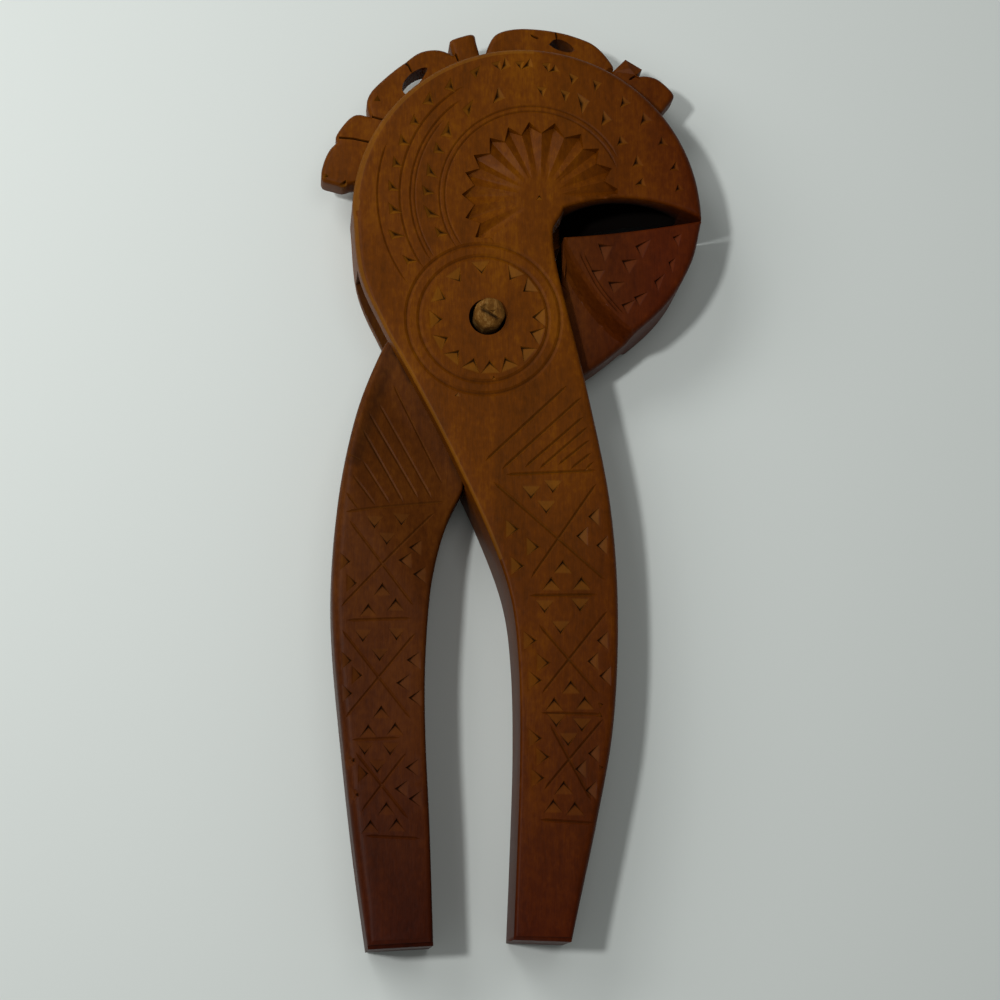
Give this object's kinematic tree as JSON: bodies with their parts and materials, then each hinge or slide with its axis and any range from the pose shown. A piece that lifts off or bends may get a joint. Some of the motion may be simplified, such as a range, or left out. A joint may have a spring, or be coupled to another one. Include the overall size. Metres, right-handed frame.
{
  "type": "lever nutcracker",
  "caption": "Carved wooden lever nutcracker with a horse-head upper jaw and mane, a tenoned lower jaw lever and a wooden pivot pin.",
  "frame": {"origin": "middle of the plan, on the flat back that the nutcracker lies on", "axes": "+Y along the length towards the head, +Z out of the carved front face, +X towards the jaws"},
  "size_m": [0.093, 0.2298, 0.0263],
  "materials": {
    "honey_brown_wood": "satin varnish",
    "red_brown_wood": "satin varnish",
    "bare_dowel_wood": "bare, whittled"
  },
  "bodies": {
    "head_lever_body": {"head_lever": "honey_brown_wood", "pivot_pin": "bare_dowel_wood"},
    "jaw_lever_body": {"jaw_lever": "red_brown_wood"}
  },
  "joints": [
    {"name": "jaw_pivot", "type": "hinge", "parent": "head_lever_body", "child": "jaw_lever_body", "pos_m": [-0.00666, 0.03728, 0.0115], "axis": [0, 0, -1], "range_deg": [0, 30]}
  ]
}
